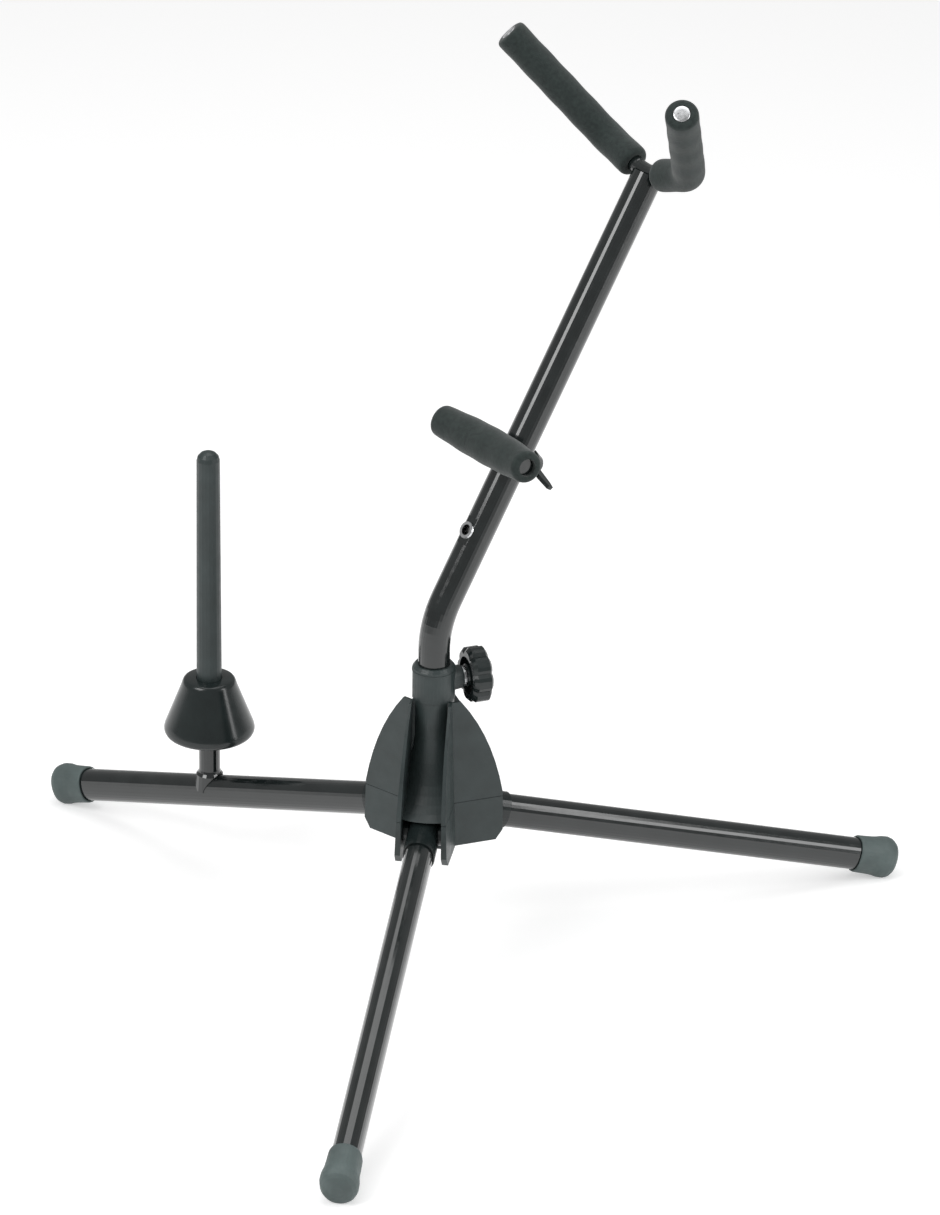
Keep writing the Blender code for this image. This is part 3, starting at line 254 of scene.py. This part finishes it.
def foam_skin():
    """Closed-cell foam: small pores and a dry sheen."""
    made, tree, shader = shader_of("foam_skin", (0.016, 0.025, 0.023), 0.92)
    shader.inputs["Sheen Weight"].default_value = 0.25
    shader.inputs["Sheen Roughness"].default_value = 0.5
    tint(tree, shader, noise_of(tree, 420, 4.0), (0.010, 0.017, 0.016), (0.022, 0.034, 0.031))
    where = tree.nodes.new("ShaderNodeTexCoord")
    cells = tree.nodes.new("ShaderNodeTexVoronoi")
    cells.inputs["Scale"].default_value = 1500
    tree.links.new(where.outputs["Object"], cells.inputs["Vector"])
    bump(tree, shader, cells.outputs["Distance"], 0.45, 0.0003)
    return made


def plated_steel():
    """Bright plating, unevenly polished."""
    made, tree, shader = shader_of("plated_steel", (0.66, 0.67, 0.68), 0.26, 1.0)
    tree.links.new(spread(tree, noise_of(tree, 500, 4.0), 0.18, 0.36), shader.inputs["Roughness"])
    bump(tree, shader, noise_of(tree, 1400, 2.0), 0.08, 0.0001)
    return made


LACQUER = black_lacquer()
HUB_BLACK = moulded_plastic("hub_black", (0.030, 0.042, 0.042), 0.42, 2600, 0.22)
GLOSS_BLACK = moulded_plastic("gloss_black", (0.014, 0.020, 0.020), 0.20, 900, 0.06)
RUBBER_BLACK = moulded_plastic("rubber_black", (0.095, 0.125, 0.122), 0.58, 1800, 0.30)
NYLON_BLACK = moulded_plastic("nylon_black", (0.050, 0.055, 0.055), 0.50, 1500, 0.12)
FOAM_BLACK = foam_skin()
STEEL = plated_steel()

FINISH_OF_SLOT = {
    "black_lacquer": LACQUER, "hub_plastic": HUB_BLACK, "gloss_plastic": GLOSS_BLACK, "rubber": RUBBER_BLACK,
    "foam": FOAM_BLACK, "bright_steel": STEEL, "nylon": NYLON_BLACK,
}


def finish_cad_nodes():
    """Gives each solid its finish, by the slot that the record names."""
    for subpart in frame["record"]["subparts"]:
        solid = frame["nodes"][subpart["node"]]
        solid.data.materials.clear()
        solid.data.materials.append(FINISH_OF_SLOT[subpart["material_slot"]])
        solid.data.shade_smooth()
        solid.data.set_sharp_from_angle(angle=radians(35))


def dressed(name, mesh, finish, body):
    """A finished piece that rides on a body."""
    piece = new_object(name, mesh)
    piece.data.materials.append(finish)
    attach(piece, body)
    return piece


# Padding

def rounding(t, length, rounded):
    """How far the skin draws in near an end, at a distance t along a sleeve."""
    near = min(t, length - t)
    if near >= rounded:
        return 0.0
    return rounded - (rounded ** 2 - (rounded - near) ** 2) ** 0.5


def foam_sleeve(name, path, radius_at):
    """A foam tube along a path, with soft rounded ends and a bore."""
    length = path_length(path)
    steps = 56
    places = [FOAM_ROUNDING * k / 5 for k in range(5)]
    places += [FOAM_ROUNDING + (length - 2 * FOAM_ROUNDING) * k / steps for k in range(steps + 1)]
    places += [length - FOAM_ROUNDING * k / 5 for k in reversed(range(5))]
    points = [point_at(path, t) for t in places]
    radii = [radius_at(t / length) - rounding(t, length, FOAM_ROUNDING) * 0.8 + FOAM_RIPPLE * sin(t * FOAM_RIPPLE_RATE)
             for t in places]
    outside = rings_along(points, radii, 40)
    inside = rings_along(points, [FOAM_BORE] * len(points), 40)
    return mesh_from_rings(name, outside + inside[::-1], True)


def yoke_path():
    """The yoke rod's axis, from the right tip to the left one."""
    right = [place(YOKE_CENTRE, side, along, forward) for side, forward, along in (YOKE_TIP, YOKE_CORNER)]
    left = [place(YOKE_CENTRE, -side, along, forward) for side, forward, along in (YOKE_CORNER, YOKE_TIP)]
    return rounded_path(right + [YOKE_CENTRE] + left, [YOKE_CORNER_BEND, YOKE_MIDDLE_BEND, YOKE_CORNER_BEND], 10)


def yoke_padding():
    """A foam sleeve on each arm of the yoke."""
    path = yoke_path()
    half = path_length(path) / 2 - YOKE_BARE
    for label, run in (("right", path), ("left", path[::-1])):
        fine = [point_at(run, half * k / 120) for k in range(121)]
        mesh = foam_sleeve(f"yoke_padding_{label}", fine, lambda share: FOAM_RADIUS)
        sleeve = dressed(f"yoke_padding_{label}", mesh, FOAM_BLACK, "pole")
        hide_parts(f"yoke_foam_{label}")


def rest_padding():
    """The rest's sleeve, fuller in the middle, cut out at the back for the saddle."""
    steps = 60
    path = []
    for k in range(steps + 1):
        share = 2 * k / steps - 1
        path.append(place(REST_CENTRE, REST_HALF_WIDTH * share, 0, REST_STANDOFF + REST_BOW * share ** 2))

    def radius_at(share):
        return REST_FOAM_END + (REST_FOAM_MIDDLE - REST_FOAM_END) * (1 - (2 * share - 1) ** 2)

    mesh = foam_sleeve("rest_padding", path, radius_at)
    sleeve = dressed("rest_padding", mesh, FOAM_BLACK, "rest")
    work = bmesh.new()
    bmesh.ops.create_cube(work, size=1.0)
    for vertex in work.verts:
        x, y, z = (a * b for a, b in zip(vertex.co, SADDLE_ROOM))
        vertex.co = place(REST_CENTRE, x, y, z + SADDLE_ROOM_CENTRE)
    bmesh.ops.recalc_face_normals(work, faces=work.faces)
    cut_mesh = bpy.data.meshes.new("saddle_cut")
    work.to_mesh(cut_mesh)
    work.free()
    cutter = new_object("saddle_cut", cut_mesh)
    cut = sleeve.modifiers.new("saddle_cut", "BOOLEAN")
    cut.operation = "DIFFERENCE"
    cut.solver = "EXACT"
    cut.object = cutter
    bpy.context.view_layer.update()
    finished = bpy.data.meshes.new_from_object(sleeve.evaluated_get(bpy.context.evaluated_depsgraph_get()))
    sleeve.modifiers.clear()
    sleeve.data = finished
    bpy.data.objects.remove(cutter, do_unlink=True)
    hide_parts("rest_foam")


# Small bright and turned pieces

def domed_disc(name, centre, axis, radius, height, finish, body):
    """A shallow turned button that faces along an axis."""
    steps = 8
    ups = [height * (1 - (1 - k / steps) ** 2) for k in range(steps)]
    outs = [radius * (1 - (k / steps) ** 2) ** 0.5 for k in range(steps)]
    turn = axis.to_track_quat("Z", "Y")
    rings = []
    for up, out in [(0.0, radius * 0.96)] + list(zip(ups, outs)):
        steps_round = [2 * pi * i / 36 for i in range(36)]
        rings.append([centre + turn @ Vector((out * cos(a), out * sin(a), up + height * 0.3)) for a in steps_round])
    return dressed(name, mesh_from_rings(name, rings, False), finish, body)


def yoke_rod_ends():
    """The bright ends of the yoke's rod, just inside the padding."""
    path = yoke_path()
    for label, run in (("right", path), ("left", path[::-1])):
        outward = (run[0] - run[1]).normalized()
        domed_disc(f"yoke_rod_end_{label}", run[0] - outward * 0.00035, outward, ROD_RADIUS, 0.0006, STEEL, "pole")


def thread_tree():
    """Geometry Nodes: even rings along Z, for a cut thread."""
    tree = bpy.data.node_groups.new("thread_rings", "GeometryNodeTree")
    interface = tree.interface
    interface.new_socket("Geometry", in_out="OUTPUT", socket_type="NodeSocketGeometry")
    sockets = {}
    for label, kind, value in (("Turns", "NodeSocketInt", 10), ("Pitch", "NodeSocketFloat", 0.001),
                               ("Radius", "NodeSocketFloat", 0.003), ("Crest", "NodeSocketFloat", 0.0003)):
        socket = interface.new_socket(label, in_out="INPUT", socket_type=kind)
        socket.default_value = value
        sockets[label] = socket.identifier
    socket = interface.new_socket("Finish", in_out="INPUT", socket_type="NodeSocketMaterial")
    sockets["Finish"] = socket.identifier
    nodes = tree.nodes
    links = tree.links
    given = nodes.new("NodeGroupInput")
    result = nodes.new("NodeGroupOutput")
    line = nodes.new("GeometryNodeMeshLine")
    offset = nodes.new("ShaderNodeCombineXYZ")
    ring = nodes.new("GeometryNodeCurvePrimitiveCircle")
    ring.inputs["Resolution"].default_value = 32
    section = nodes.new("GeometryNodeCurvePrimitiveCircle")
    section.inputs["Resolution"].default_value = 6
    skin = nodes.new("GeometryNodeCurveToMesh")
    spread_out = nodes.new("GeometryNodeInstanceOnPoints")
    realize = nodes.new("GeometryNodeRealizeInstances")
    paint = nodes.new("GeometryNodeSetMaterial")
    links.new(given.outputs["Turns"], line.inputs["Count"])
    links.new(given.outputs["Pitch"], offset.inputs["Z"])
    links.new(offset.outputs["Vector"], line.inputs["Offset"])
    links.new(given.outputs["Radius"], ring.inputs["Radius"])
    links.new(given.outputs["Crest"], section.inputs["Radius"])
    links.new(ring.outputs["Curve"], skin.inputs["Curve"])
    links.new(section.outputs["Curve"], skin.inputs["Profile Curve"])
    links.new(line.outputs["Mesh"], spread_out.inputs["Points"])
    links.new(skin.outputs["Mesh"], spread_out.inputs["Instance"])
    links.new(spread_out.outputs["Instances"], realize.inputs["Geometry"])
    links.new(realize.outputs["Geometry"], paint.inputs["Geometry"])
    links.new(given.outputs["Finish"], paint.inputs["Material"])
    links.new(paint.outputs["Geometry"], result.inputs["Geometry"])
    return tree, sockets


def thread(name, tree, sockets, start, axis, length, body):
    """Thread crests on a screw, from a start point along an axis."""
    maker = new_object(name, bpy.data.meshes.new(name))
    modifier = maker.modifiers.new("thread", "NODES")
    modifier.node_group = tree
    modifier[sockets["Turns"]] = int(length / THREAD_PITCH)
    modifier[sockets["Pitch"]] = THREAD_PITCH
    modifier[sockets["Radius"]] = THREAD_RADIUS - THREAD_CREST * 0.85
    modifier[sockets["Crest"]] = THREAD_CREST
    modifier[sockets["Finish"]] = STEEL
    bpy.context.view_layer.update()
    mesh = bpy.data.meshes.new_from_object(maker.evaluated_get(bpy.context.evaluated_depsgraph_get()))
    maker.modifiers.clear()
    mesh.transform(Matrix.Translation(start) @ axis.to_track_quat("Z", "Y").to_matrix().to_4x4())
    mesh.shade_smooth()
    maker.data = mesh
    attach(maker, body)


def threads():
    """The two screws whose threads show."""
    tree, sockets = thread_tree()
    stud_end = REST_CENTRE - FORWARD * (STUD_TAIL - THREAD_PITCH)
    thread("rest_stud_thread", tree, sockets, stud_end, FORWARD, 3 * THREAD_PITCH, "rest")
    screw_shows = CLAMP_CENTRE + CLAMP_AXIS * 0.0195
    thread("clamp_screw_thread", tree, sockets, screw_shows, CLAMP_AXIS, 1.5 * THREAD_PITCH, "clamp_knob")


def turned_ring(name, centre, outer, inner, low, high, finish, body):
    """A thin upright ring round a vertical axis."""
    sides = 48
    rings = []
    for radius, height in ((outer, low), (outer, high), (inner, high), (inner, low)):
        steps = [2 * pi * i / sides for i in range(sides)]
        rings.append([Vector((centre.x + radius * cos(a), centre.y + radius * sin(a), height)) for a in steps])
    return dressed(name, mesh_from_rings(name, rings, True), finish, body)


def collar_bead():
    """The fine moulded bead under the collar's upper chamfer."""
    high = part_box("clamp_collar")[1]
    outer = 0.0131
    turned_ring("collar_bead", HUB_AXIS, outer, outer - 0.0006, high.z - 0.0042, high.z - 0.0034, HUB_BLACK, "hub")


def fine_cone():
    """The peg's cone, turned finely, with soft edges and a hollow underside."""
    low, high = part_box("peg_cone")
    base = (high.x - low.x) / 2
    height = high.z - low.z
    top = 0.0163
    wall = 0.0026
    rod_room = 0.0081
    spindle_room = 0.0043
    inner_hub = 0.0100
    cup = high.z - 0.0050
    roof = cup - wall
    outline = [(base - 0.0040, low.z), (base - 0.0022, low.z + 0.0004), (base - 0.0009, low.z + 0.0014),
               (base - 0.0002, low.z + 0.0028), (base, low.z + 0.0042), (base - 0.0003, low.z + 0.0060),
               (base - 0.0012, low.z + 0.0084), (top + 0.0009, low.z + height - 0.0048),
               (top + 0.0004, low.z + height - 0.0030), (top - 0.0002, high.z - 0.0015), (top - 0.0010, high.z - 0.0005),
               (top - 0.0020, high.z), (rod_room, high.z), (rod_room, cup), (spindle_room, cup),
               (spindle_room, low.z), (inner_hub, low.z), (inner_hub, roof), (top - wall - 0.0006, roof),
               (base - wall, low.z + 0.0060), (base - 0.0060, low.z)]
    sides = 96
    rings = []
    for radius, level in outline:
        steps = [2 * pi * i / sides for i in range(sides)]
        rings.append([Vector((PEG_AXIS.x + radius * cos(a), PEG_AXIS.y + radius * sin(a), level)) for a in steps])
    cone = dressed("peg_cone_shell", mesh_from_rings("peg_cone_shell", rings, True), GLOSS_BLACK, "peg_cone")
    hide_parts("peg_cone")


# Stage, lights and camera

def white_to_camera(material, strength, base):
    """A surface that looks white to the camera and to reflections but keeps its shadow."""
    tree = material.node_tree
    shader = tree.nodes["Principled BSDF"]
    shader.inputs["Base Color"].default_value = (base, base, base, 1)
    shader.inputs["Roughness"].default_value = 0.9
    shader.inputs["Emission Color"].default_value = (1, 1, 1, 1)
    path = tree.nodes.new("ShaderNodeLightPath")
    most = tree.nodes.new("ShaderNodeMath")
    most.operation = "MAXIMUM"
    tree.links.new(path.outputs["Is Camera Ray"], most.inputs[0])
    tree.links.new(path.outputs["Is Glossy Ray"], most.inputs[1])
    scale = tree.nodes.new("ShaderNodeMath")
    scale.operation = "MULTIPLY"
    scale.inputs[1].default_value = strength
    tree.links.new(most.outputs[0], scale.inputs[0])
    tree.links.new(scale.outputs[0], shader.inputs["Emission Strength"])


def make_stage():
    """A pale floor that runs out of view."""
    reach = 6.0
    mesh = bpy.data.meshes.new("floor")
    corners = [(-reach, -reach, 0), (reach, -reach, 0), (reach, reach, 0), (-reach, reach, 0)]
    mesh.from_pydata(corners, [], [(0, 1, 2, 3)])
    floor = new_object("floor", mesh)
    paint = bpy.data.materials.new("pale_floor")
    paint.use_nodes = True
    white_to_camera(paint, 0.45, 0.80)
    mesh.materials.append(paint)


def make_world():
    """Plain soft surroundings, white behind the object."""
    world = bpy.data.worlds.new("studio")
    bpy.context.scene.world = world
    world.use_nodes = True
    tree = world.node_tree
    background = tree.nodes["Background"]
    background.inputs["Color"].default_value = (1, 1, 1, 1)
    path = tree.nodes.new("ShaderNodeLightPath")
    strength = tree.nodes.new("ShaderNodeMapRange")
    strength.inputs["To Min"].default_value = 0.35
    strength.inputs["To Max"].default_value = 1.0
    tree.links.new(path.outputs["Is Camera Ray"], strength.inputs["Value"])
    tree.links.new(strength.outputs["Result"], background.inputs["Strength"])


def area_lamp(name, position, target, width, height, power):
    """A soft lamp turned towards a point."""
    data = bpy.data.lights.new(name, "AREA")
    data.shape = "RECTANGLE"
    data.size = width
    data.size_y = height
    data.energy = power
    lamp = bpy.data.objects.new(name, data)
    bpy.context.scene.collection.objects.link(lamp)
    lamp.location = position
    lamp.rotation_euler = (Vector(target) - Vector(position)).to_track_quat("-Z", "Y").to_euler()


def make_lights():
    """A key from the left, a strip on the right and a soft top."""
    middle = (0.0, 0.05, 0.25)
    area_lamp("key", (-1.3, -1.2, 1.9), middle, 1.2, 1.2, 26)
    area_lamp("strip", (1.6, -0.3, 0.9), middle, 0.5, 1.8, 12)
    area_lamp("top", (0.0, 0.4, 2.2), middle, 1.6, 1.6, 14)


def make_camera():
    """Puts the camera where the photograph was taken from, aimed so that nothing is shifted."""
    back = Vector((sin(CAMERA_AZIMUTH) * cos(CAMERA_ELEVATION), -cos(CAMERA_AZIMUTH) * cos(CAMERA_ELEVATION),
                   sin(CAMERA_ELEVATION)))
    right = Vector((cos(CAMERA_AZIMUTH), sin(CAMERA_AZIMUTH), 0))
    up = back.cross(right)
    level_right = right * cos(CAMERA_ROLL) + up * sin(CAMERA_ROLL)
    level_up = up * cos(CAMERA_ROLL) - right * sin(CAMERA_ROLL)
    aim = HUB_AXIS + Vector((0, 0, AIM_HEIGHT))
    across = (PHOTO_WIDTH / 2 - AIM_PIXEL[0]) * PIXEL
    upward = (AIM_PIXEL[1] - PHOTO_HEIGHT / 2) * PIXEL
    forward = (level_right * across + level_up * upward - back * CAMERA_DISTANCE).normalized()
    x_axis = (level_right - forward * level_right.dot(forward)).normalized()
    y_axis = x_axis.cross(forward)
    data = bpy.data.cameras.new("camera")
    data.sensor_fit = "HORIZONTAL"
    data.sensor_width = 36
    data.lens = data.sensor_width * CAMERA_DISTANCE / (PHOTO_WIDTH * PIXEL)
    camera = bpy.data.objects.new("camera", data)
    bpy.context.scene.collection.objects.link(camera)
    rotation = Matrix((x_axis, y_axis, -forward)).transposed().to_4x4()
    camera.matrix_world = Matrix.Translation(aim + back * CAMERA_DISTANCE) @ rotation
    bpy.context.scene.camera = camera


bpy.context.scene.view_settings.view_transform = "Standard"
finish_cad_nodes()
yoke_padding()
rest_padding()
yoke_rod_ends()
threads()
collar_bead()
fine_cone()
make_stage()
make_world()
make_lights()
make_camera()
